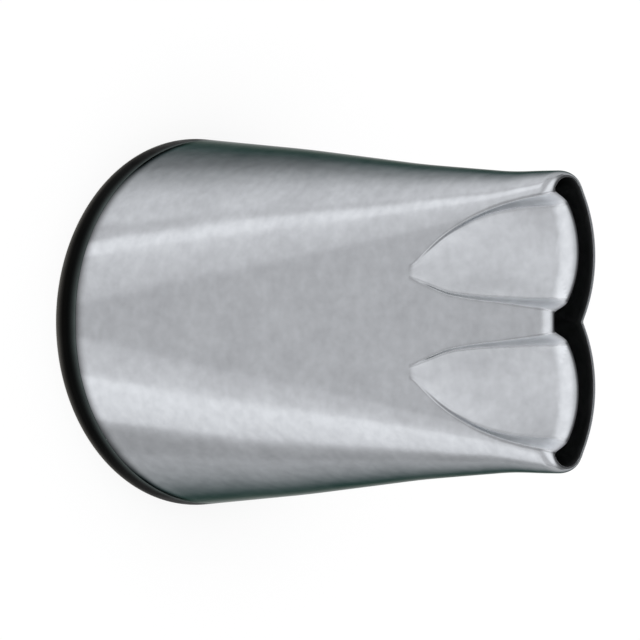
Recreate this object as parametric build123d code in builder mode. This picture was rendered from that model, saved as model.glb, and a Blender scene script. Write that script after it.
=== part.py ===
"""Piping nozzle: a round base pressed flat to a slot, with two dents in front and two lobes behind."""

from build123d import *
from math import radians, sqrt, tan
import os

# Driving dimensions, in millimetres. The nozzle stands on its base with its tip up.
base_diameter = 25.0  # outside, over the round open base
nozzle_length = 38.5
tip_width = 20.36  # outside, along the slot
tip_thickness = 3.26  # outside, across the slot, between the flat flanks
sheet = 0.45  # the wall, measured across the nozzle
land_length = 3.0  # the last stretch, where the two narrow sides run parallel
side_height_shares = (0.31, 0.66, 0.935)  # of the height below the land: the narrow sides are slightly hollow
side_taper_shares = (0.32, 0.79, 1.035)  # of the narrowing from base to tip, at those heights

# The two dents in the front flank
dent_length = 10.8
dent_depth = 2.2  # at the tip, from the flank to the middle of the dent's floor
dent_spacing = 9.4  # between the two dents' middles at the tip
dent_spacing_start = 6.66  # the same where the dents begin
dent_floor_width = 6.48  # at the tip
dent_floor_radius = 6.2  # the floor is round across
dent_inner_angle = 64.0  # degrees, from the flank of the nozzle to the dents' sides at the strip between them
dent_outer_angle = 60.0  # the same at the dents' other sides
dent_station_shares = (0.0, 0.14, 0.37, 0.62, 1.0)  # of the dent's length
dent_width_shares = (0.08, 0.38, 0.72, 0.90, 1.0)  # of the floor's width, at those stations
dent_shift_shares = (0.0, 0.25, 0.59, 0.90, 1.0)  # of the way that the dents drift apart, at those stations

# The two lobes of the back flank
lobe_length = 10.8
lobe_height = 1.13  # at the tip
lobe_radius = 9.3
lobe_spacing = 8.88  # between the two lobes' middles at the tip
lobe_spacing_start = 6.9
lobe_root = 0.30  # how deep a lobe's section reaches below the flank it grows from

# The base ring and its joint with the shell
ring_height = 1.6
spigot_height = 1.2  # the sleeve that enters the shell
spigot_wall = 0.35
spigot_clearance = 0.03  # between the sleeve and the shell, filled by the joint
ring_edge = 0.15  # chamfer of the ring's inner lower edge

# The seam down the middle of the back, where the rolled sheet meets itself
seam_width = 0.30

overrun = 1.0  # how far every cut runs past what it cuts

# Worked out from the sizes above
base_radius = base_diameter / 2
tip_radius = tip_thickness / 2
land_start = nozzle_length - land_length
side_heights = (0, *(land_start * share for share in side_height_shares), land_start)
side_tapers = (0, *side_taper_shares, 1)


def end_radius(height):
    """Radius of the two rounded ends at a height, which is also half the distance between the flanks."""
    return base_radius - (base_radius - tip_radius) * height / nozzle_length


def half_width(height):
    """Half the outside width at a height: straight between the side heights, then constant over the land."""
    taper = 1
    for k in range(len(side_heights) - 1):
        if side_heights[k] <= height < side_heights[k + 1]:
            part_way = (height - side_heights[k]) / (side_heights[k + 1] - side_heights[k])
            taper = side_tapers[k] + (side_tapers[k + 1] - side_tapers[k]) * part_way
    return base_radius - (base_radius - tip_width / 2) * taper


def end_offset(height):
    """How far the centre of each rounded end lies from the axis at a height."""
    return half_width(height) - end_radius(height)


def flattened_form(inset, top, below=0):
    """The circle drawn out to a slot: two leaning rounded ends, and two flat flanks that fill between them.

    inset moves the whole surface inwards, top is where it stops, and below carries it past the base.
    """
    heights = [0, *(height for height in side_heights[1:] if height < top), top]
    with BuildPart() as form:
        for height in heights:
            centre = end_offset(height)
            radius = end_radius(height) - inset
            with BuildSketch(Plane.XY.offset(height)):
                with BuildLine():
                    ThreePointArc((centre, -radius), (centre + radius, 0), (centre, radius))
                    Line((centre, radius), (centre, -radius))
                make_face()
        loft(ruled=True)
        mirror(about=Plane.YZ)
        if below:
            with BuildSketch(Plane.XY):
                Circle(base_radius - inset)
            extrude(amount=-below)
    right_side = [(end_offset(height), height) for height in heights]
    left_side = [(-x, height) for x, height in reversed(right_side[1:])]
    with BuildPart() as middle:
        with BuildSketch(Plane.XZ):
            with BuildLine():
                Polyline(*right_side, *left_side, close=True)
            make_face()
        extrude(amount=base_radius, both=True)
        with BuildSketch(Plane.YZ):
            with BuildLine():
                Polyline(
                    (inset - base_radius, 0),
                    (base_radius - inset, 0),
                    (end_radius(top) - inset, top),
                    (inset - end_radius(top), top),
                    close=True,
                )
            make_face()
        extrude(amount=tip_width, both=True, mode=Mode.INTERSECT)
    return form.part + middle.part


def lobe_form(inset, beyond):
    """The pair of shallow round lobes that swell out of the back flank towards the tip."""
    start = nozzle_length - lobe_length
    with BuildPart() as lobes:
        for height in (start, nozzle_length + beyond):
            share = (height - start) / lobe_length
            middle = (lobe_spacing_start + (lobe_spacing - lobe_spacing_start) * share) / 2
            flank = end_radius(height) - inset
            crest = flank + lobe_height * share
            root = flank - lobe_root
            rise = crest - root
            half_chord = sqrt(2 * lobe_radius * rise - rise**2)
            with BuildSketch(Plane.XY.offset(height)):
                with BuildLine():
                    ThreePointArc((middle - half_chord, root), (middle, crest), (middle + half_chord, root))
                    Line((middle + half_chord, root), (middle - half_chord, root))
                make_face()
        loft(ruled=True)
        mirror(about=Plane.YZ)
    return lobes.part


def dent_form(inset, beyond):
    """The pair of pressed dents in the front flank: a crowned floor that sinks towards the tip, and steep sides."""
    start = nozzle_length - dent_length
    end_share = 1 + beyond / dent_length
    inner_rise = tan(radians(dent_inner_angle))
    outer_rise = tan(radians(dent_outer_angle))
    stations = list(zip(dent_station_shares, dent_width_shares, dent_shift_shares))
    stations.append((end_share, dent_width_shares[-1], dent_shift_shares[-1]))
    with BuildPart() as dents:
        for share, width_share, shift_share in stations:
            height = start + dent_length * share
            middle = (dent_spacing_start + (dent_spacing - dent_spacing_start) * shift_share) / 2
            flank = inset - end_radius(height)
            floor = flank + dent_depth * share
            half_floor = dent_floor_width * width_share / 2
            inner_foot = half_floor + inset * tan(radians(dent_inner_angle / 2))
            outer_foot = half_floor + inset * tan(radians(dent_outer_angle / 2))
            inner_fall = dent_floor_radius - sqrt(dent_floor_radius**2 - inner_foot**2)
            outer_fall = dent_floor_radius - sqrt(dent_floor_radius**2 - outer_foot**2)
            mouth = flank - overrun
            inner_mouth = inner_foot + (floor - inner_fall - mouth) / inner_rise
            outer_mouth = outer_foot + (floor - outer_fall - mouth) / outer_rise
            with BuildSketch(Plane.XY.offset(height)):
                with BuildLine():
                    ThreePointArc(
                        (middle - inner_foot, floor - inner_fall),
                        (middle, floor),
                        (middle + outer_foot, floor - outer_fall),
                    )
                    Line((middle + outer_foot, floor - outer_fall), (middle + outer_mouth, mouth))
                    Line((middle + outer_mouth, mouth), (middle - inner_mouth, mouth))
                    Line((middle - inner_mouth, mouth), (middle - inner_foot, floor - inner_fall))
                make_face()
        loft()
        mirror(about=Plane.YZ)
    return dents.part


full_form = flattened_form(0, nozzle_length) + lobe_form(0, 0) - dent_form(0, overrun)
cavity_form = flattened_form(sheet, nozzle_length + overrun, overrun) + lobe_form(sheet, overrun)
cavity_form -= dent_form(sheet, overrun)
sleeve_inset = sheet + spigot_clearance
sleeve_top = ring_height + spigot_height
sleeve_form = flattened_form(sleeve_inset, sleeve_top)
ring_bore_form = flattened_form(sleeve_inset + spigot_wall, sleeve_top + overrun, overrun)

with BuildPart() as pressed_sheet:
    add(full_form)
    add(cavity_form, mode=Mode.SUBTRACT)
    split(bisect_by=Plane.XY.offset(ring_height), keep=Keep.TOP)

with BuildPart() as seam_slab:
    with BuildSketch(Plane.XY):
        with Locations((0, base_radius / 2)):
            Rectangle(seam_width, base_radius)
    extrude(amount=nozzle_length)

# Nozzle shell: the rolled and pressed sheet above the base ring, parted by its back seam
with BuildPart() as nozzle_shell:
    add(pressed_sheet.part)
    add(seam_slab.part, mode=Mode.SUBTRACT)
nozzle_shell.part.label = "nozzle_shell"

# Seam bead: the metal that closes the seam, flush with the sheet on both sides
with BuildPart() as seam_bead:
    add(pressed_sheet.part)
    add(seam_slab.part, mode=Mode.INTERSECT)
seam_bead.part.label = "seam_bead"

# Base ring: flush with the shell outside, with a sleeve that stands inside the shell
with BuildPart() as base_ring:
    add(full_form)
    split(bisect_by=Plane.XY.offset(ring_height), keep=Keep.BOTTOM)
    add(sleeve_form)
    add(ring_bore_form, mode=Mode.SUBTRACT)
    inner_lower_edge = base_ring.edges().group_by(Axis.Z)[0].group_by(SortBy.RADIUS)[0]
    chamfer(inner_lower_edge, length=ring_edge)
base_ring.part.label = "base_ring"

os.makedirs("parts", exist_ok=True)
for piece in (nozzle_shell, seam_bead, base_ring):
    export_step(piece.part, f"parts/{piece.part.label}.step")
    print(piece.part.label, len(piece.part.solids()), round(piece.part.volume, 3))
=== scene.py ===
"""Looks of the piping nozzle: its pressed shell, seam bead and base ring, in a small photo studio."""

import math

import bpy
import numpy as np
from mathutils import Matrix, Vector


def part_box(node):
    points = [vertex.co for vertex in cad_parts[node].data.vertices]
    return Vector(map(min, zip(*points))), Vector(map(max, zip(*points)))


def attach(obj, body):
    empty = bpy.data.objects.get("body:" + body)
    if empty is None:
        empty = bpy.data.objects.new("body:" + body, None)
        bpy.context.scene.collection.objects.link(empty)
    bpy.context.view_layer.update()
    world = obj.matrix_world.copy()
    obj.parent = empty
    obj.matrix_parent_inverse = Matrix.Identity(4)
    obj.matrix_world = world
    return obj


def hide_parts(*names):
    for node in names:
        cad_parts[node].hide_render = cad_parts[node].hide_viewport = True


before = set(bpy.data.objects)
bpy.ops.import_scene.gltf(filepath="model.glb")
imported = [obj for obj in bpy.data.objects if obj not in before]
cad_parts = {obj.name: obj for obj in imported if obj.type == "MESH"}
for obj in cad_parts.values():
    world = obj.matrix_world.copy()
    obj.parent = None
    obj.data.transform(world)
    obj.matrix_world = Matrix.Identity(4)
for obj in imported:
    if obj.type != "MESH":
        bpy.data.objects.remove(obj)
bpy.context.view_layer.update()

MM = 0.001

# Sizes read from the frame
BASE_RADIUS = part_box("base_ring")[1].x
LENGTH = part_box("nozzle_shell")[1].z
RING_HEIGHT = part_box("nozzle_shell")[0].z
SLEEVE_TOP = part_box("base_ring")[1].z
SEAM_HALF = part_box("seam_bead")[1].x

# The sheet
TIP_HALF_WIDTH = 10.18 * MM
TIP_RADIUS = 1.63 * MM
SHEET = 0.45 * MM
LAND_START = LENGTH - 3.0 * MM
SIDE_HEIGHTS = np.array((-0.2, 0, 0.31, 0.66, 0.935, 1, 1.4)) * LAND_START
SIDE_TAPERS = (-0.206, 0, 0.32, 0.79, 1.035, 1, 1)  # of the narrowing from base to tip, at those heights
SIDE_BLEND = 1.6 * MM  # how far each change of slope is drawn out
RIM_HEIGHT = 0.95 * MM  # the outer edge of the rim is rounded over this height
RIM_DEPTH = 0.39 * MM  # and over this much of the sheet
RIM_INNER = 0.03 * MM  # rounding of the inner edge
SHELL_FOOT_ROUNDING = 0.05 * MM

# The dents in front
DENT_LENGTH = 10.8 * MM
DENT_DEPTH = 2.2 * MM
DENT_SHARES = (0, 0.05, 0.14, 0.25, 0.37, 0.48, 0.62, 0.75, 1)  # of the dent's length
DENT_MIDDLES = np.array((3.33, 3.40, 3.68, 3.89, 4.14, 4.36, 4.56, 4.65, 4.70)) * MM  # at those shares
DENT_HALF_FLOORS = np.array((0.25, 0.65, 1.22, 1.92, 2.33, 2.67, 2.93, 3.09, 3.24)) * MM
DENT_BLEND = 0.06  # share of the dent's length over which each change between them is drawn out
DENT_FLOOR_RADIUS = 6.2 * MM
DENT_FLOOR_END = 0.98  # share of the radius, just short of where the arc stands upright
DENT_INNER_FLANK = math.radians(64)  # towards the strip between the dents
DENT_OUTER_FLANK = math.radians(60)
DENT_ROUNDING = 0.04 * MM  # at the edges and feet of a dent's sides where it begins
DENT_ROUNDING_MORE = 0.26 * MM  # added to that by the tip

# The lobes behind
LOBE_LENGTH = 10.8 * MM
LOBE_HEIGHT = 1.13 * MM
LOBE_RADIUS = 9.3 * MM
LOBE_MIDDLE = 4.44 * MM
LOBE_MIDDLE_START = 3.45 * MM
LOBE_REACH = 4.7 * MM  # from a lobe's middle to where it runs out
LOBE_RUN_OUT = 4  # how steeply it falls beyond that
LOBE_ROUNDING = 0.12 * MM

# Painted light and shade in the sheet's colour: 1 is plain, less is painted shade and more is painted
# highlight
DENT_SHADE_HALF_WIDTH = 0.12 * MM  # half the width of the painted shade lines along the edges and feet of the dents' sides
DENT_SHADE_DEPTH = 0.2
DENT_FOOT_SHADE_SHARE = 0.6  # the painted shade line along the foot, as a share of the one along the edge
DENT_EDGE_SHADE_DEPTH = 0.3  # painted shade where the edge is rounded
DENT_EDGE_SLOPES = (3, 11, 36, 44)  # degrees: that painted shade over the rounded edge begins, is full, is still full and ends
DENT_STEEP_SLOPES = (38, 54)  # degrees: a side's painted highlight begins, and is full
DENT_SIDE_SHARES = (0.05, 0.3, 0.6, 1)  # of the dent's length
DENT_INNER_HIGHLIGHT = (0.3, 0.9, 0.9, 0.85)  # painted highlight added to the steep sides, at those shares
DENT_OUTER_HIGHLIGHT = (0.0, 0.1, 0.45, 0.9)
DENT_FLOOR_PLACES = (-1, -0.4, 0.3, 1)  # shares of the half floor, from the strip outwards
# painted light and shade across the floors, at those places
DENT_FLOOR_LIGHT_AND_SHADE = (0.22, 0.0, -0.09, 0.03)
FOOT_SHADE_HEIGHTS = np.array((0, 0.1, 0.2, 0.3, 0.42, 0.56, 0.75, 1.0)) * MM  # heights above the ring, for the painted shade along the foot
FOOT_FRONT_SHADES = (0.22, 0.33, 0.47, 0.62, 0.77, 0.90, 1, 1)  # painted shade on the sheet just above the ring, in front
FOOT_SIDE_SHADES = (0.12, 0.15, 0.2, 0.28, 0.42, 0.62, 0.85, 1)
FOOT_SIDE_TURNS = (25, 60)  # degrees from the front: where one painted shade turns into the other
FOOT_EASE_TURNS = (62, 80)  # degrees from the front: where the painted shade fades again, and by how much
FOOT_EASE = 0.5

# The ring and the bead
RING_CLEARANCE = 0.03 * MM
SLEEVE_WALL = 0.35 * MM
RING_EDGE = 0.15 * MM
RING_TOP_EDGE = 0.06 * MM
BEAD_CROWN = 0.02 * MM
BEAD_RIPPLE = 0.7 * MM
BEAD_RIPPLE_SHARE = 0.2  # of the crown

# Steps of the meshes
BACK_STEPS = 48
END_STEPS = 120
END_CROWDING = 0.7  # how much closer the steps of a rounded end lie towards the front
FRONT_STEPS = 400
BEAD_POINTS = 9
BODY_ROWS = 26
PRESSED_ROWS = 150
PRESSED_LEAD = 0.4 * MM  # the close rows begin this far below the dents
FOOT_SHADE_GAP = 0.2 * MM  # from the last row of the foot's painted shade to the next
INSIDE_ROW_STEP = 3  # the inside takes one row in this many
EDGE_ROWS = 8
SHELL_FOOT_ROWS = 4


def end_radius(z):
    """Radius of the rounded ends at height z, which is also half the distance between the flanks."""
    return BASE_RADIUS - (BASE_RADIUS - TIP_RADIUS) * z / LENGTH


def drawn_out(place, places, values, blend, samples):
    """A value between the places where it is given, with each change of slope drawn out over the blend."""
    shifts = np.linspace(-blend, blend, samples)
    return np.mean([np.interp(place + shift, places, values) for shift in shifts], axis=0)


def end_offset(z):
    """How far the centre of each rounded end lies from the axis at height z."""
    taper = drawn_out(z, SIDE_HEIGHTS, SIDE_TAPERS, SIDE_BLEND, 9)
    return BASE_RADIUS - (BASE_RADIUS - TIP_HALF_WIDTH) * taper - end_radius(z)


def soft_max(a, b, blend):
    """The larger of two heights, with the corner between them rounded over the blend."""
    overlap = np.maximum(blend - np.abs(a - b), 0) / blend
    return np.maximum(a, b) + overlap**2 * blend / 4


def dent_value(share, values):
    """A value given at the dents' shares."""
    return drawn_out(share, DENT_SHARES, values, DENT_BLEND, 7)


def dent_rounding(z):
    """Rounding at the edges and feet of the dents' sides, which grows towards the tip."""
    return DENT_ROUNDING + DENT_ROUNDING_MORE * np.clip((z - LENGTH) / DENT_LENGTH + 1, 0, 1)


def arc_fall(across):
    """How far the crowned floor falls off at a distance from its middle."""
    on_arc = np.minimum(np.abs(across), DENT_FLOOR_RADIUS * DENT_FLOOR_END)
    return DENT_FLOOR_RADIUS - np.sqrt(DENT_FLOOR_RADIUS**2 - on_arc**2)


def dent_place(x, z, inset):
    """Place in a dent: share of its length, distance from its middle, half floor, and the side's rise."""
    share = (z - (LENGTH - DENT_LENGTH)) / DENT_LENGTH
    from_middle = np.abs(x) - dent_value(share, DENT_MIDDLES)
    angle = np.where(from_middle < 0, DENT_INNER_FLANK, DENT_OUTER_FLANK)
    half_floor = dent_value(share, DENT_HALF_FLOORS) + inset * np.tan(angle / 2)
    return share, np.abs(from_middle), half_floor, np.tan(angle)


def dent_floor(x, z, inset):
    """Y of the dents' surface at x and z: a crowned floor between two steep sides."""
    share, across, half_floor, rise = dent_place(x, z, inset)
    floor = inset - end_radius(z) + DENT_DEPTH * share
    side = floor - arc_fall(half_floor) - (across - half_floor) * rise
    return -soft_max(arc_fall(across) - floor, -side, dent_rounding(z))


def foot_shade(x, y, z):
    """Painted shade on the sheet just above the ring: most of it half-way from the front to the sides."""
    height = z - RING_HEIGHT
    front = np.interp(height, FOOT_SHADE_HEIGHTS, FOOT_FRONT_SHADES)
    side = np.interp(height, FOOT_SHADE_HEIGHTS, FOOT_SIDE_SHADES)
    turned = np.degrees(np.arctan2(np.abs(x), np.abs(y)))
    tint = front + (side - front) * np.interp(turned, FOOT_SIDE_TURNS, (0, 1))
    return tint + (1 - tint) * np.interp(turned, FOOT_EASE_TURNS, (0, FOOT_EASE))


def sheet_painted_shading(x, y, z):
    """Painted light and shade along a row: painted highlights on the dents' steep sides, painted light and
    shade across their floors, painted shade lines along their edges and feet, and painted shade at the
    foot.
    """
    share, across, half_floor, rise = dent_place(x, z, 0)
    past_foot = across - half_floor
    past_edge = past_foot - np.maximum(DENT_DEPTH * share - arc_fall(half_floor), 0) / rise
    lines = np.exp(-(past_edge / DENT_SHADE_HALF_WIDTH) ** 2) + DENT_FOOT_SHADE_SHARE * np.exp(-(past_foot / DENT_SHADE_HALF_WIDTH) ** 2)
    slope = np.degrees(np.arctan(np.abs(np.gradient(y, x))))
    on_side = (past_foot > -DENT_SHADE_HALF_WIDTH) * (past_edge < DENT_SHADE_HALF_WIDTH)
    inner = np.abs(x) < dent_value(share, DENT_MIDDLES)
    # Painted highlight on the dents' steep sides, and painted light and shade across their floors
    side_highlight = np.where(
        inner,
        np.interp(share, DENT_SIDE_SHARES, DENT_INNER_HIGHLIGHT),
        np.interp(share, DENT_SIDE_SHARES, DENT_OUTER_HIGHLIGHT),
    )
    floor_place = np.where(inner, -across, across) / half_floor
    floor_light_and_shade = np.interp(floor_place, DENT_FLOOR_PLACES, DENT_FLOOR_LIGHT_AND_SHADE)
    painted_light = side_highlight * np.interp(slope, DENT_STEEP_SLOPES, (0, 1)) * on_side
    painted_light = painted_light + floor_light_and_shade * (past_foot < 0) * (1 - on_side)
    # Painted shade: dark lines along the dents' edges and feet, and darker over their rounded edges
    rounded = np.interp(slope, DENT_EDGE_SLOPES, (0, 1, 1, 0)) * on_side * (past_foot > 0)
    painted_shade = np.maximum(DENT_SHADE_DEPTH * np.minimum(lines, 1), DENT_EDGE_SHADE_DEPTH * rounded)
    pressed_here = np.clip(1 + share * DENT_LENGTH / DENT_SHADE_HALF_WIDTH, 0, 1) * (y < 0)
    return foot_shade(x, y, z) * (1 + pressed_here * (painted_light - painted_shade))


def lobe_crest(x, z, inset):
    """Y of the lobes' surface at x and z: two round arcs that rise towards the tip and meet in a notch."""
    share = (z - (LENGTH - LOBE_LENGTH)) / LOBE_LENGTH
    middle = LOBE_MIDDLE_START + (LOBE_MIDDLE - LOBE_MIDDLE_START) * share
    across = np.abs(np.abs(x) - middle)
    beyond = np.maximum(across - LOBE_REACH, 0)
    across = np.minimum(across, LOBE_RADIUS)
    fall = LOBE_RADIUS - np.sqrt(LOBE_RADIUS**2 - across**2)
    return end_radius(z) - inset + LOBE_HEIGHT * share - fall - LOBE_RUN_OUT * beyond


def pressed(x, y, z, inset):
    """Y after pressing: dents push the front flank in, and lobes push the back flank out."""
    front = soft_max(y, dent_floor(x, z, inset), dent_rounding(z))
    back = soft_max(y, lobe_crest(x, z, inset), LOBE_ROUNDING)
    return np.where(y < 0, front, back)


def section(z, inset, gap=SEAM_HALF):
    """One open loop of the sheet at height z, from the seam round the front and back to the seam."""
    radius = end_radius(z) - inset
    offset = end_offset(z)
    back_x = np.linspace(gap, offset, BACK_STEPS, endpoint=False)
    share = np.linspace(0, 1, END_STEPS, endpoint=False)
    angle = math.pi * (0.5 - share * (1 + END_CROWDING - END_CROWDING * share))
    front_x = np.linspace(offset, 0, FRONT_STEPS // 2 + 1)
    front_y = np.full(len(front_x), -radius)
    x = np.concatenate([back_x, offset + radius * np.cos(angle), front_x])
    y = np.concatenate([np.full(BACK_STEPS, radius), radius * np.sin(angle), front_y])
    x = np.concatenate([x, -x[-2::-1]])
    y = np.concatenate([y, y[-2::-1]])
    return np.column_stack([x, pressed(x, y, z, inset), np.full(len(x), z)])


def mesh_piece(name, points, faces, materials, face_material=None, smooth_angle=50):
    """A smooth-shaded mesh object from points and faces."""
    mesh = bpy.data.meshes.new(name)
    mesh.from_pydata([tuple(p) for p in points], [], faces)
    mesh.validate()
    for material in materials:
        mesh.materials.append(material)
    if face_material is not None:
        mesh.polygons.foreach_set("material_index", face_material)
    mesh.update()
    mesh.shade_smooth()
    mesh.set_sharp_from_angle(angle=math.radians(smooth_angle))
    piece = bpy.data.objects.new(name, mesh)
    bpy.context.scene.collection.objects.link(piece)
    return piece


def strip_faces(rows, row_length, closed_rows, closed_loop):
    """Quads between neighbouring rows of points, each row with the same number of points."""
    faces = []
    last_row = rows if closed_rows else rows - 1
    last_column = row_length if closed_loop else row_length - 1
    for i in range(last_row):
        a = i * row_length
        b = (i + 1) % rows * row_length
        for j in range(last_column):
            k = (j + 1) % row_length
            faces.append((a + j, a + k, b + k, b + j))
    return faces


def shell_heights():
    """Heights of the shell's rows: wide apart on the plain cone, close together where it is pressed."""
    press_start = LENGTH - DENT_LENGTH - PRESSED_LEAD
    foot = RING_HEIGHT + np.concatenate([[SHELL_FOOT_ROUNDING], FOOT_SHADE_HEIGHTS[1:]])
    plain = np.linspace(foot[-1] + FOOT_SHADE_GAP, press_start, BODY_ROWS, endpoint=False)
    dented = np.linspace(press_start, LENGTH - RIM_HEIGHT, PRESSED_ROWS)
    return np.concatenate([foot, plain, dented])


def sheet_profile():
    """Height and depth in the sheet, up the outside, over the rim, down the inside and round the foot."""
    heights = shell_heights()
    profile = [(z, 0) for z in heights]
    for turn in np.linspace(0, math.pi / 2, EDGE_ROWS + 1)[1:]:
        profile.append((LENGTH - RIM_HEIGHT * (1 - math.sin(turn)), RIM_DEPTH * (1 - math.cos(turn))))
    outside = len(profile)
    profile.append((LENGTH, SHEET - RIM_INNER))
    profile.append((LENGTH - RIM_INNER, SHEET))
    profile.extend((z, SHEET) for z in heights[::-INSIDE_ROW_STEP])
    profile.append((RING_HEIGHT, SHEET - SHELL_FOOT_ROUNDING))
    for turn in np.linspace(0, math.pi / 2, SHELL_FOOT_ROWS, endpoint=False):
        rise, depth = 1 - math.cos(turn), 1 - math.sin(turn)
        profile.append((RING_HEIGHT + SHELL_FOOT_ROUNDING * rise, SHELL_FOOT_ROUNDING * depth))
    return profile, outside


def sheet_mesh(name, across, outside_material, inside_material):
    """A part of the sheet: its profile carried along rows of points, and the walls at the rows' ends."""
    profile, outside = sheet_profile()
    rows = [across(z, inset) for z, inset in profile]
    length = len(rows[0])
    faces = strip_faces(len(rows), length, True, False)
    materials = [0 if face[0] // length < outside else 1 for face in faces]
    for edge, order in ((0, 1), (length - 1, -1)):
        ring = [row * length + edge for row in range(len(rows))]
        outer = ring[:outside]
        inner = ring[outside:][::-1]
        for k in range(max(len(outer), len(inner)) - 1):
            a, b = min(k, len(outer) - 1), min(k + 1, len(outer) - 1)
            c, d = min(k, len(inner) - 1), min(k + 1, len(inner) - 1)
            corners = dict.fromkeys((outer[a], outer[b], inner[d], inner[c]))
            faces.append(tuple(corners)[::order])
            materials.append(1)
    piece = mesh_piece(name, np.vstack(rows), faces, [outside_material, inside_material], materials)
    # Painted light and shade at every point of the sheet, kept on the mesh for its material
    row_shadings = [sheet_painted_shading(*row.T) for row in rows]
    piece.data.attributes.new("painted_shading", "FLOAT", "POINT").data.foreach_set("value", np.concatenate(row_shadings))
    return piece


def seam_section(z, inset):
    """The bead's line across the seam: with the sheet, and very slightly crowned and rippled outside."""
    x = np.linspace(-SEAM_HALF, SEAM_HALF, BEAD_POINTS)
    height = np.full(BEAD_POINTS, z)
    y = pressed(x, end_radius(height) - inset, height, inset)
    if inset == 0:
        ripple = 1 - BEAD_RIPPLE_SHARE + BEAD_RIPPLE_SHARE * math.sin(2 * math.pi * z / BEAD_RIPPLE)
        y = y + BEAD_CROWN * ripple * (1 - (x / SEAM_HALF) ** 2)
    return np.column_stack([x[::-1], y[::-1], height])


def build_ring(material):
    """The base ring: flush hoop outside, a ledge under the sheet, and the sleeve that stands inside it."""
    seat = SHEET + RING_CLEARANCE
    bore = seat + SLEEVE_WALL
    profile = []
    for turn in np.linspace(0, math.pi / 2, EDGE_ROWS + 1):
        profile.append((RING_EDGE * (1 - math.sin(turn)), RING_EDGE * (1 - math.cos(turn))))
    for turn in np.linspace(0, math.pi / 2, EDGE_ROWS):
        depth, drop = 1 - math.cos(turn), 1 - math.sin(turn)
        profile.append((RING_TOP_EDGE * depth, RING_HEIGHT - RING_TOP_EDGE * drop))
    profile.append((seat, RING_HEIGHT))
    for turn in np.linspace(0, math.pi / 2, EDGE_ROWS):
        depth, drop = 1 - math.cos(turn), 1 - math.sin(turn)
        profile.append((seat + RING_EDGE * depth, SLEEVE_TOP - RING_EDGE * drop))
    profile.append((bore, SLEEVE_TOP))
    profile.append((bore, RING_EDGE))
    profile.append((bore - RING_EDGE, 0))
    rows = [section(z, inset, gap=0)[:-1] for inset, z in profile]
    faces = strip_faces(len(rows), len(rows[0]), True, True)
    return mesh_piece("base_ring_hoop", np.vstack(rows), faces, [material], smooth_angle=40)


# Materials: scale and detail of each noise, and how it is drawn out
STAINS = (260, 8)
MOTTLE = (1300, 5)
POLISH = (420, 5, (1, 1, 0.35))
GRAIN = (5200, 3, (1, 1, 0.12))
PEBBLE = (2600, 3)
RING_PATCHES = (300, 4)
RING_POLISH = (900, 4)
RING_GRAIN = (4000, 3)

MOTTLE_DEPTH = 1.3  # of the depth of the stains
PAINTED_HIGHLIGHT_LEVELS = (1.15, 1.75)  # levels of the painted shading at which the painted highlight begins to show in the gloss, and shows fully
HIGHLIGHT_ROUGHNESS = 0.3  # roughness added where the highlight is painted
GRAIN_DEPTH = 0.004 * MM

# Shares of the ring's height, and how pale the ring's colour is there: a near-black painted shade, with
# painted highlights paler towards both edges, warm below and cool above
WARM = (1.0, 0.96, 0.88)
COOL = (0.82, 1.0, 0.98)
RING_PAINTED_SHADING = (
    (0.0, 0.20, WARM), (0.06, 0.11, WARM), (0.12, 0.065, WARM), (0.19, 0.03, WARM),
    (0.27, 0.010, WARM), (0.36, 0.002, WARM), (0.60, 0.0012, COOL), (0.70, 0.004, COOL),
    (0.78, 0.012, COOL), (0.86, 0.026, COOL), (0.93, 0.045, COOL), (1.0, 0.07, COOL),
)
RING_PATCHINESS = (0.75, 1.25)
RING_SHINE = 0.015
RING_ROUGHNESS = (0.38, 0.52)
RING_GRAIN_STRENGTH = 0.25
RING_GRAIN_DEPTH = 0.006 * MM


def new_material(name):
    """A new node material, with its nodes, links and shader."""
    material = bpy.data.materials.new(name)
    material.use_nodes = True
    nodes = material.node_tree.nodes
    return material, nodes, material.node_tree.links, nodes["Principled BSDF"]


def noise(nodes, links, coordinates, scale, detail, stretch=(1, 1, 1)):
    """A noise texture in object space, drawn out along an axis if stretch says so."""
    mapping = nodes.new("ShaderNodeMapping")
    mapping.inputs["Scale"].default_value = stretch
    links.new(coordinates.outputs["Object"], mapping.inputs["Vector"])
    texture = nodes.new("ShaderNodeTexNoise")
    texture.inputs["Scale"].default_value = scale
    texture.inputs["Detail"].default_value = detail
    links.new(mapping.outputs["Vector"], texture.inputs["Vector"])
    return texture.outputs["Fac"]


def ranged(nodes, links, value, from_range, to_range=(0, 1)):
    """A value mapped from one range to another, and kept within it."""
    ramp = nodes.new("ShaderNodeMapRange")
    ramp.inputs["From Min"].default_value, ramp.inputs["From Max"].default_value = from_range
    ramp.inputs["To Min"].default_value, ramp.inputs["To Max"].default_value = to_range
    links.new(value, ramp.inputs["Value"])
    return ramp.outputs["Result"]


def spread(nodes, links, texture, low, high):
    """A noise's middle range mapped to a value between low and high."""
    return ranged(nodes, links, texture, (0.3, 0.7), (low, high))


def computed(nodes, links, operation, *values):
    """The result of a Math node on sockets and numbers."""
    node = nodes.new("ShaderNodeMath")
    node.operation = operation
    for socket, value in zip(node.inputs, values):
        if isinstance(value, bpy.types.NodeSocket):
            links.new(value, socket)
        else:
            socket.default_value = value
    return node.outputs["Value"]


def colour_mix(nodes, links, factor, first, second):
    """A mix of two plain colours by a factor."""
    mix = nodes.new("ShaderNodeMix")
    mix.data_type = "RGBA"
    mix.inputs["A"].default_value = (*first, 1)
    mix.inputs["B"].default_value = (*second, 1)
    links.new(factor, mix.inputs["Factor"])
    return mix.outputs["Result"]


def scaled(nodes, links, colour, scale):
    """A colour times a value."""
    node = nodes.new("ShaderNodeVectorMath")
    node.operation = "SCALE"
    links.new(colour, node.inputs["Vector"])
    links.new(scale, node.inputs["Scale"])
    return node.outputs["Vector"]


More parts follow.
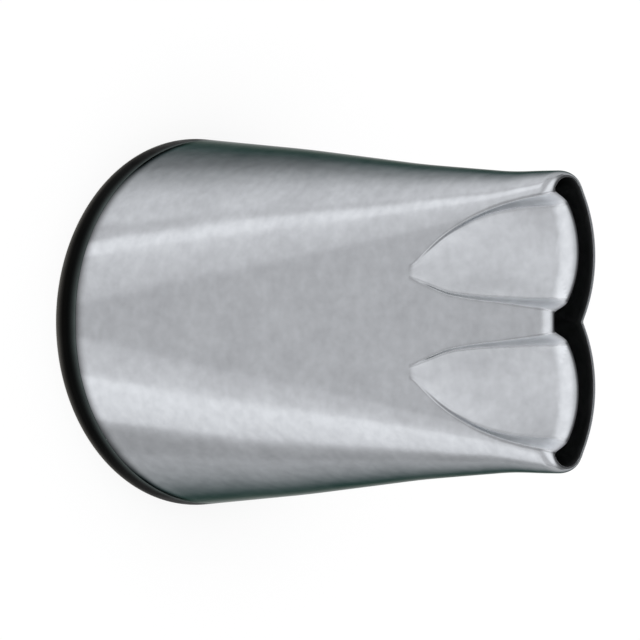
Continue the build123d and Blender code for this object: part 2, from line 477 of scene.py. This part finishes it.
def rough_up(nodes, links, shader, height, strength, depth):
    """A fine relief in the shader's surface."""
    bump = nodes.new("ShaderNodeBump")
    bump.inputs["Strength"].default_value = strength
    bump.inputs["Distance"].default_value = depth
    links.new(height, bump.inputs["Height"])
    links.new(bump.outputs["Normal"], shader.inputs["Normal"])


def metal(name, tint, depth, roughness, edge_tint, grain_strength):
    """Satin metal: faint stains and mottle in its colour, uneven polish, and a fine drawn grain."""
    material, nodes, links, shader = new_material(name)
    coordinates = nodes.new("ShaderNodeTexCoord")
    shader.inputs["Metallic"].default_value = 1.0

    stains = spread(nodes, links, noise(nodes, links, coordinates, *STAINS), 0, 1)
    darker = [c * (1 - depth) for c in tint]
    paler = [min(1, c * (1 + depth)) for c in tint]
    stained = colour_mix(nodes, links, stains, darker, paler)
    # Painted light and shade from the mesh scale the colour; where it is brightest, the painted highlight
    # also whitens the gloss and roughens it
    painted_shading = nodes.new("ShaderNodeAttribute")
    painted_shading.attribute_name = "painted_shading"
    mottle = noise(nodes, links, coordinates, *MOTTLE)
    mottled = spread(nodes, links, mottle, 1 - MOTTLE_DEPTH * depth, 1 + MOTTLE_DEPTH * depth)
    shading_and_mottle = computed(nodes, links, "MULTIPLY", painted_shading.outputs["Fac"], mottled)
    links.new(scaled(nodes, links, stained, shading_and_mottle), shader.inputs["Base Color"])
    painted_light = ranged(nodes, links, painted_shading.outputs["Fac"], PAINTED_HIGHLIGHT_LEVELS)
    links.new(colour_mix(nodes, links, painted_light, edge_tint, (1, 1, 1)), shader.inputs["Specular Tint"])

    polished = spread(nodes, links, noise(nodes, links, coordinates, *POLISH), *roughness)
    roughness_at_highlight = computed(nodes, links, "MULTIPLY_ADD", painted_light, HIGHLIGHT_ROUGHNESS, polished)
    links.new(roughness_at_highlight, shader.inputs["Roughness"])

    grain = noise(nodes, links, coordinates, *GRAIN)
    pebble = noise(nodes, links, coordinates, *PEBBLE)
    relief = computed(nodes, links, "ADD", grain, pebble)
    rough_up(nodes, links, shader, relief, grain_strength, GRAIN_DEPTH)
    return material


def painted_shade_ring_material(name):
    """Colour of the base ring: a near-black painted shade, with painted highlights paler towards both
    edges, and a fine grain.
    """
    material, nodes, links, shader = new_material(name)
    coordinates = nodes.new("ShaderNodeTexCoord")
    parts = nodes.new("ShaderNodeSeparateXYZ")
    links.new(coordinates.outputs["Object"], parts.inputs["Vector"])
    ring_shading = nodes.new("ShaderNodeValToRGB")
    stops = ring_shading.color_ramp.elements
    while len(stops) < len(RING_PAINTED_SHADING):
        stops.new(0.5)
    for stop, (share, painted_shading, hue) in zip(stops, RING_PAINTED_SHADING):
        stop.position = share
        stop.color = (*(painted_shading * part for part in hue), 1)
    links.new(ranged(nodes, links, parts.outputs["Z"], (0, RING_HEIGHT)), ring_shading.inputs["Fac"])
    patches = spread(nodes, links, noise(nodes, links, coordinates, *RING_PATCHES), *RING_PATCHINESS)
    links.new(scaled(nodes, links, ring_shading.outputs["Color"], patches), shader.inputs["Base Color"])
    shader.inputs["Specular IOR Level"].default_value = RING_SHINE
    polish = spread(nodes, links, noise(nodes, links, coordinates, *RING_POLISH), *RING_ROUGHNESS)
    links.new(polish, shader.inputs["Roughness"])
    grain = noise(nodes, links, coordinates, *RING_GRAIN)
    rough_up(nodes, links, shader, grain, RING_GRAIN_STRENGTH, RING_GRAIN_DEPTH)
    return material


shell_steel = metal("shell_steel", (0.380, 0.3915, 0.412), 0.05, (0.17, 0.23), (0.070, 0.105, 0.088), 0.10)
# The inside is the same steel as the outside, its colour painted darker as shade inside the bore
inside_steel = metal("inside_steel", (0.22, 0.23, 0.24), 0.06, (0.30, 0.40), (0.15, 0.17, 0.16), 0.3)
seam_metal = metal("seam_metal", (0.36, 0.372, 0.384), 0.06, (0.25, 0.36), (0.15, 0.17, 0.16), 0.3)
ring_steel = painted_shade_ring_material("ring_steel")

for piece, node, slot in (
    (sheet_mesh("nozzle_shell_sheet", section, shell_steel, inside_steel), "nozzle_shell", "shell_steel"),
    (sheet_mesh("seam_bead_metal", seam_section, seam_metal, inside_steel), "seam_bead", "seam_metal"),
    (build_ring(ring_steel), "base_ring", "ring_steel"),
):
    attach(piece, "root")
    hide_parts(node)

# Studio
FLOOR_COLOUR = (0.92, 0.92, 0.92, 1)
FLOOR_WHITE = 0.8  # share of the floor that is plain white to the camera and to mirrors
FLOOR_REACH = 0.15
FLOOR_INNER = 0.0115  # radius of the plain disc under the nozzle
FLOOR_STEPS = 64

MIRROR_ELEVATION = math.radians(49)  # of the view for which the cards are laid out
MIRROR_VIEW = Vector((0, -math.cos(MIRROR_ELEVATION), math.sin(MIRROR_ELEVATION)))
CARD_ROWS = 9
CARD_COLUMNS = 7
CARD_HEIGHT = 0.0001

# Side, angles from the front at the near end and at the far end, reach from the foot's mirror image to
# the tip's, and levels of light from the smaller angle to the larger
CARDS = {
    "right_plateau": (1, (3, 15.5), (3, 18.5), (0.01, 1.5), (1.2, 1.42)),
    "right_highlight": (1, (15.5, 31), (18.5, 45), (0.01, 1.2), (1.88, 1.62)),
    "right_grey": (1, (33.5, 44.5), (48, 55), (0.01, 1.2), (0.83, 0.80)),
    "left_plateau": (-1, (4, 19.5), (4, 23), (0.01, 1.5), (1.24, 1.42)),
    "left_highlight": (-1, (19.5, 24.5), (23, 34), (0.01, 1.2), (1.88, 1.88)),
    "left_dip": (-1, (24.5, 30), (34, 37), (0.01, 1.2), (1.15, 1.15)),
    "left_upper": (-1, (30, 44), (37, 53), (0.01, 1.2), (1.42, 1.34)),
    "left_fade": (-1, (44, 56), (53, 70), (0.01, 1.2), (1.25, 0.80)),
    "left_shade": (-1, (56, 70), (62, 74), (0.01, 0.5), (0.62, 0.75)),
    "left_far_grey": (-1, (37, 40), (37, 40), (1.4, 8), (0.7, 0.7)),
    "right_far_grey": (1, (37, 40), (37, 40), (1.4, 8), (0.7, 0.7)),
}

TENT_RADIUS = 1.0
TENT_TURNS = 72
TENT_TIERS = 36
TENT_TOP = math.radians(90) * 0.999  # just short of a point
TENT_FRONT = 1.30  # level of light in front of the nozzle
# Changes of the level, and the shares of the radius between which each sets in: along Y, then along Z
TENT_SIDES = (-1.00, -0.45, 0.1)
TENT_BEHIND = (-0.18, 0.1, 0.5)
TENT_BEHIND_LOW = (0.65, 0.3, 0.6)
TENT_BEHIND_LOW_ENDS = (-1, 0.3, 0.5)
TENT_ABOVE_FLOOR = (0.44, 0.04, 0.2)
TENT_OVERHEAD = (-0.4, 0.55, 0.95)


def flat_stage(name, points, faces, material):
    """A stage object made of points and faces."""
    mesh = bpy.data.meshes.new(name)
    mesh.from_pydata(points, [], faces)
    mesh.materials.append(material)
    plane = bpy.data.objects.new(name, mesh)
    bpy.context.scene.collection.objects.link(plane)
    return plane


def seen_rays(nodes, links):
    """One for camera, glossy and transmission rays, and zero for the rays that light things."""
    path = nodes.new("ShaderNodeLightPath")
    total = path.outputs["Is Camera Ray"]
    for name in ("Is Glossy Ray", "Is Transmission Ray"):
        total = computed(nodes, links, "MAXIMUM", total, path.outputs[name])
    return total


def floor_material(name, white):
    """Pale matt floor, mixed with plain white where the camera and mirrors look at it."""
    material, nodes, links, shader = new_material(name)
    shader.inputs["Base Color"].default_value = FLOOR_COLOUR
    shader.inputs["Roughness"].default_value = 1.0
    shader.inputs["Specular IOR Level"].default_value = 0.0
    if white:
        glow = nodes.new("ShaderNodeEmission")
        share = computed(nodes, links, "MULTIPLY", seen_rays(nodes, links), FLOOR_WHITE)
        mix = nodes.new("ShaderNodeMixShader")
        links.new(share, mix.inputs[0])
        links.new(shader.outputs["BSDF"], mix.inputs[1])
        links.new(glow.outputs["Emission"], mix.inputs[2])
        links.new(mix.outputs["Shader"], nodes["Material Output"].inputs["Surface"])
    return material


def build_floor():
    """The floor, with a plain disc of it under the nozzle, where nothing white may shine into the bore."""
    count = FLOOR_STEPS
    disc = []
    square = []
    for k in range(count):
        turn = 2 * math.pi * k / count
        c, s = math.cos(turn), math.sin(turn)
        reach = FLOOR_REACH / max(abs(c), abs(s))
        disc.append((FLOOR_INNER * c, FLOOR_INNER * s, 0))
        square.append((reach * c, reach * s, 0))
    faces = [(k, k + count, (k + 1) % count + count, (k + 1) % count) for k in range(count)]
    flat_stage("floor", disc + square, faces, floor_material("floor", True))
    plain = floor_material("floor_under_nozzle", False)
    flat_stage("floor_under_nozzle", disc, [tuple(range(count))], plain)


def build_world():
    """A plain white room."""
    world = bpy.data.worlds.new("studio")
    world.use_nodes = True
    background = world.node_tree.nodes["Background"]
    background.inputs["Color"].default_value = (1, 1, 1, 1)
    background.inputs["Strength"].default_value = 1.0
    bpy.context.scene.world = world


def glowing(name, points, faces, levels):
    """A stage object that only mirrors see, with a level of light at every point."""
    material, nodes, links, shader = new_material(name)
    level = nodes.new("ShaderNodeAttribute")
    level.attribute_name = "level"
    glow = nodes.new("ShaderNodeEmission")
    links.new(level.outputs["Fac"], glow.inputs["Strength"])
    links.new(glow.outputs["Emission"], nodes["Material Output"].inputs["Surface"])
    nodes.remove(shader)
    piece = flat_stage(name, points, faces, material)
    piece.data.attributes.new("level", "FLOAT", "POINT").data.foreach_set("value", levels)
    piece.visible_camera = False
    piece.visible_diffuse = False
    piece.visible_shadow = False


def stepped(value, change, low, high):
    """No change below low, all of it above high, and a soft rise between them."""
    share = min(max((value - low) / (high - low), 0), 1)
    return change * share * share * (3 - 2 * share)


def tent_level(y, z):
    """Light from the tent: bright in front of the nozzle, less behind, and least at the sides."""
    level = TENT_FRONT + stepped(y, *TENT_SIDES) + stepped(y, *TENT_BEHIND)
    level += stepped(y, *TENT_BEHIND_LOW) * (1 + stepped(z, *TENT_BEHIND_LOW_ENDS))
    return level * (1 + stepped(z, *TENT_ABOVE_FLOOR)) * (1 + stepped(z, *TENT_OVERHEAD))


def build_tent():
    """A round light tent, which only mirrors see."""
    points, levels, faces = [], [], []
    for tier in range(TENT_TIERS + 1):
        rise = TENT_TOP * tier / TENT_TIERS
        for k in range(TENT_TURNS):
            turn = 2 * math.pi * k / TENT_TURNS
            x, y, z = math.cos(rise) * math.sin(turn), math.cos(rise) * math.cos(turn), math.sin(rise)
            points.append((TENT_RADIUS * x, TENT_RADIUS * y, TENT_RADIUS * z))
            levels.append(tent_level(y, z))
            if tier < TENT_TIERS:
                a, b = tier * TENT_TURNS + k, tier * TENT_TURNS + (k + 1) % TENT_TURNS
                faces.append((a, b, b + TENT_TURNS, a + TENT_TURNS))
    glowing("light_tent", points, faces, levels)


def mirrored_line(angle, side):
    """Where the rounded end mirrors the floor, at an angle from the front: from its foot to its tip."""
    turn = math.radians(angle)
    c, s = math.cos(turn), math.sin(turn)
    taper = (BASE_RADIUS - TIP_RADIUS) / LENGTH
    hollow = (BASE_RADIUS - TIP_HALF_WIDTH) / LAND_START
    normal = Vector((s, -c, taper - (taper - hollow) * s)).normalized()
    ray = 2 * normal.dot(MIRROR_VIEW) * normal - MIRROR_VIEW
    foot = Vector((BASE_RADIUS * s, -BASE_RADIUS * c, 0))
    tip = Vector((TIP_HALF_WIDTH - TIP_RADIUS * (1 - s), -TIP_RADIUS * c, LENGTH))
    tip += ray * (LENGTH / -ray.z)
    return Vector((foot.x * side, foot.y, 0)), Vector((tip.x * side, tip.y, 0))


def build_card(name, side, near_angles, far_angles, reach, levels):
    """A soft light or a grey card on the floor, which only mirrors see."""
    points = []
    for part_way in np.linspace(0, 1, CARD_ROWS):
        share = reach[0] + (reach[1] - reach[0]) * part_way
        angles = [near + (far - near) * part_way for near, far in zip(near_angles, far_angles)]
        for angle in np.linspace(*angles, CARD_COLUMNS):
            foot, tip = mirrored_line(angle, side)
            place = foot + (tip - foot) * share
            points.append((place.x, place.y, CARD_HEIGHT))
    faces = strip_faces(CARD_ROWS, CARD_COLUMNS, False, False)
    glowing(name, points, faces, np.tile(np.linspace(*levels, CARD_COLUMNS), CARD_ROWS))


def lamp(name, place, target, size, power):
    """A rectangular soft box, turned to a target, that lights the stage and shows in no mirror."""
    data = bpy.data.lights.new(name, "AREA")
    data.shape = "RECTANGLE"
    data.size, data.size_y = size
    data.energy = power
    box = bpy.data.objects.new(name, data)
    box.location = place
    box.rotation_euler = (Vector(target) - Vector(place)).to_track_quat("-Z", "Y").to_euler()
    box.visible_camera = False
    box.visible_glossy = False
    bpy.context.scene.collection.objects.link(box)


def photo_camera():
    """The photograph's camera: in front and above the base plane, rolled so that the tip points right."""
    elevation = math.radians(49.14)
    pixels_per_metre = 14651
    image_side = 640
    base_centre_pixel = (194.66, 321.89)
    distance = 1.8
    back = Vector((0, -math.cos(elevation), math.sin(elevation)))
    right = Vector((0, math.sin(elevation), math.cos(elevation)))
    up = Vector((-1, 0, 0))
    across = (image_side / 2 - base_centre_pixel[0]) / pixels_per_metre
    down = (image_side / 2 - base_centre_pixel[1]) / pixels_per_metre
    data = bpy.data.cameras.new("photo_camera")
    data.sensor_width = 36
    data.lens = data.sensor_width * distance * pixels_per_metre / image_side
    data.clip_end = 20
    camera = bpy.data.objects.new("photo_camera", data)
    place = right * across - up * down + back * distance
    camera.matrix_world = Matrix((
        (right.x, up.x, back.x, place.x),
        (right.y, up.y, back.y, place.y),
        (right.z, up.z, back.z, place.z),
        (0, 0, 0, 1),
    ))
    bpy.context.scene.collection.objects.link(camera)
    bpy.context.scene.camera = camera


build_floor()
build_world()
build_tent()
for name, layout in CARDS.items():
    build_card(name, *layout)
lamp("front_box", (0, -0.35, 0.26), (0, 0, 0.03), (0.5, 0.32), 0.10)
lamp("overhead_box", (0, -0.05, 0.40), (0, 0, 0.0), (0.30, 0.20), 0.35)
photo_camera()
bpy.context.scene.view_settings.view_transform = "Standard"
